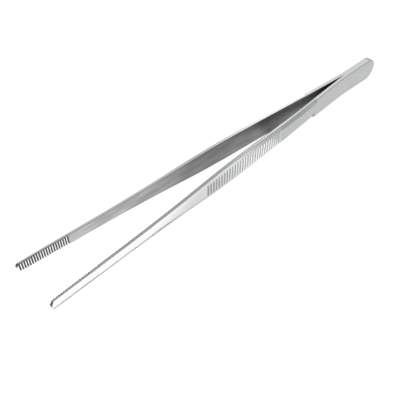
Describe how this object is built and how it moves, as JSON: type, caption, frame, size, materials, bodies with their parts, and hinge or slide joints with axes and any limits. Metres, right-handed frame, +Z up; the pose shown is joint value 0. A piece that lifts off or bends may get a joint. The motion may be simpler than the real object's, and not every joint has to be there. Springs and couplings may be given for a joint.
{
  "type": "thumb forceps",
  "caption": "Long sprung dressing forceps with cross-ribbed grip, slim tapered arms and fine meshing cross teeth inside the blunt tips.",
  "frame": {"origin": "centre of the bounding box's footprint, on the surface that the forceps lie on", "axes": "+Z up across the width of the arms; the length lies along X, heel towards +X and tips towards -X; the arms spread along Y"},
  "size_m": [0.25, 0.03, 0.0142],
  "materials": {
    "steel": "satin ground and polished stainless steel"
  },
  "bodies": {
    "root": {"right_arm": "steel", "left_arm": "steel"}
  },
  "joints": []
}
